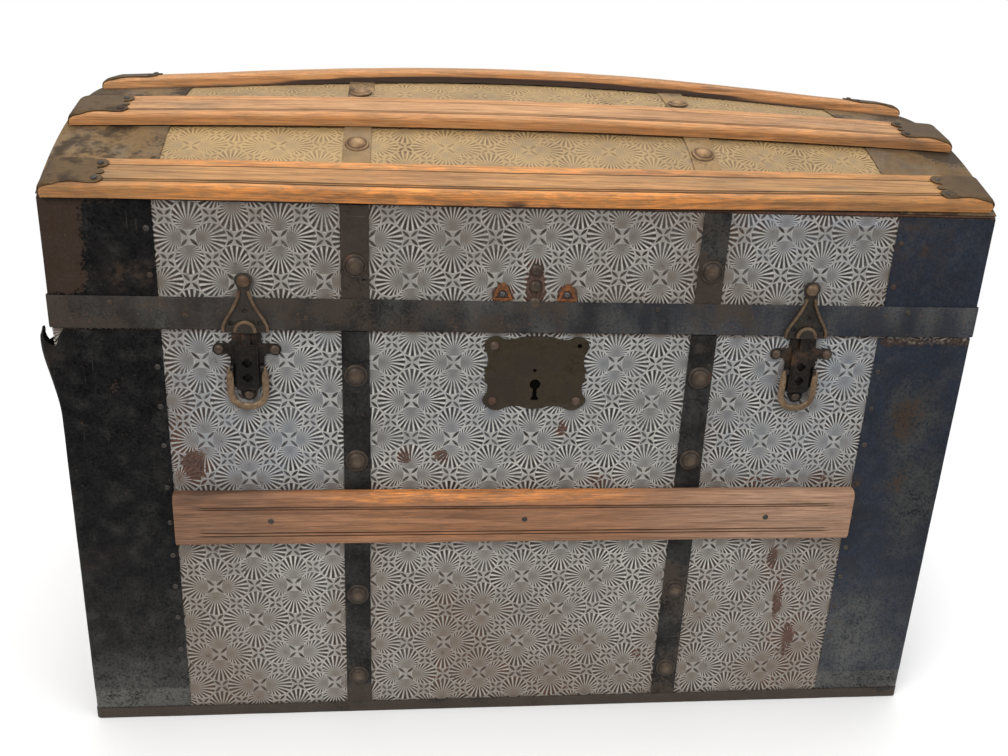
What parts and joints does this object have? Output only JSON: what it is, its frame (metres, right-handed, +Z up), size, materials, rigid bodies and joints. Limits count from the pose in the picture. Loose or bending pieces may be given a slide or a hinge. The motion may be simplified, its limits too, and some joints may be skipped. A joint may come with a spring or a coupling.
{
  "type": "dome top trunk",
  "caption": "Dome top travel trunk with embossed sheet panels, hardwood slats, corner covers, draw bolts and a hinged lid",
  "frame": {"origin": "middle of the underside, on the floor, at the middle of the centre runner", "axes": "+Z up, +X to the right along the length, the front with the lock faces -Y"},
  "size_m": [0.9426, 0.5038, 0.6445],
  "materials": {
    "pine": "unfinished softwood boards, dry and darkened",
    "ash_slat": "oiled hardwood slat, worn and orange brown",
    "embossed_tin": "embossed sheet, silver grey with dark recesses",
    "dome_tin": "embossed sheet, painted olive tan, worn",
    "plain_tin": "plain sheet, painted olive tan",
    "black_sheet": "plain sheet, black japan worn to brown",
    "strap_iron": "thin iron strap, black with brown wear",
    "band_iron": "iron band, dark brown to blue grey",
    "cap_iron": "domed iron caps with a brown patina",
    "nail_iron": "nail and rivet heads, rusted brown",
    "catch_iron": "pressed iron, black with rust",
    "bail_wire": "brassed wire, dull tan",
    "lock_brass": "sheet brass, dark olive brown",
    "lock_steel": "plain steel lock parts, dull",
    "leather": "thick dark brown leather, dry and cracked",
    "lining_paper": "aged paper glued to the boards"
  },
  "bodies": {
    "body": {"body_front_board": "pine", "body_back_board": "pine", "body_left_board": "pine", "body_right_board": "pine", "bottom_board": "pine", "bottom_runners": "pine", "base_binding": "band_iron", "body_front_tin": "embossed_tin", "body_back_tin": "embossed_tin", "body_end_tins": "embossed_tin", "body_corner_covers": "black_sheet", "body_straps": "strap_iron", "body_front_slat": "ash_slat", "body_back_slat": "ash_slat", "body_strap_caps": "cap_iron", "body_nails": "nail_iron", "body_rivets": "nail_iron", "lock_plate": "lock_brass", "lock_case": "lock_steel", "left_draw_base": "catch_iron", "right_draw_base": "catch_iron", "hinge_body_leaves": "catch_iron", "hinge_pins": "lock_steel", "left_handle": "leather", "right_handle": "leather", "handle_caps": "catch_iron", "tray_cleats": "pine", "body_lining": "lining_paper"},
    "lid": {"hinge_lid_leaves": "catch_iron", "lid_front_board": "pine", "lid_back_board": "pine", "lid_left_end": "pine", "lid_right_end": "pine", "dome_staves": "pine", "lid_wall_tins": "embossed_tin", "lid_end_tins": "embossed_tin", "dome_tin": "dome_tin", "dome_end_bands": "plain_tin", "lid_corner_covers": "black_sheet", "lid_band": "band_iron", "lid_front_slat": "ash_slat", "lid_second_slat": "ash_slat", "lid_crown_slat": "ash_slat", "lid_fourth_slat": "ash_slat", "lid_back_slat": "ash_slat", "slat_clamps": "plain_tin", "lid_straps": "strap_iron", "lid_strap_caps": "cap_iron", "lid_nails": "nail_iron", "lid_rivets": "nail_iron", "left_catch": "catch_iron", "right_catch": "catch_iron", "hasp_clips": "nail_iron", "lid_lining": "lining_paper"},
    "left_draw_bar": {"left_draw_bar": "catch_iron"},
    "right_draw_bar": {"right_draw_bar": "catch_iron"},
    "left_bail": {"left_bail": "bail_wire"},
    "right_bail": {"right_bail": "bail_wire"},
    "lock_bolt": {"lock_bolt": "lock_steel"}
  },
  "joints": [
    {"name": "lid_hinge", "type": "hinge", "parent": "body", "child": "lid", "pos_m": [0, 0.2444, 0.4235], "axis": [-1, 0, 0], "range_deg": [0, 100]},
    {"name": "left_bail_swing", "type": "hinge", "parent": "body", "child": "left_bail", "pos_m": [-0.262, -0.2426, 0.388], "axis": [-1, 0, 0], "range_deg": [0, 120]},
    {"name": "left_draw_slide", "type": "slide", "parent": "body", "child": "left_draw_bar", "axis": [0, 0, 1], "range_m": [0, 0.0084]},
    {"name": "right_bail_swing", "type": "hinge", "parent": "body", "child": "right_bail", "pos_m": [0.262, -0.2426, 0.388], "axis": [-1, 0, 0], "range_deg": [0, 120]},
    {"name": "right_draw_slide", "type": "slide", "parent": "body", "child": "right_draw_bar", "axis": [0, 0, 1], "range_m": [0, 0.0084]},
    {"name": "lock_bolt_slide", "type": "slide", "parent": "body", "child": "lock_bolt", "axis": [1, 0, 0], "range_m": [0, 0.006]}
  ],
  "couplings": [
    {"joint": "left_draw_slide", "follows": "left_bail_swing", "m_per_rad": 0.004},
    {"joint": "right_draw_slide", "follows": "right_bail_swing", "m_per_rad": 0.004}
  ]
}
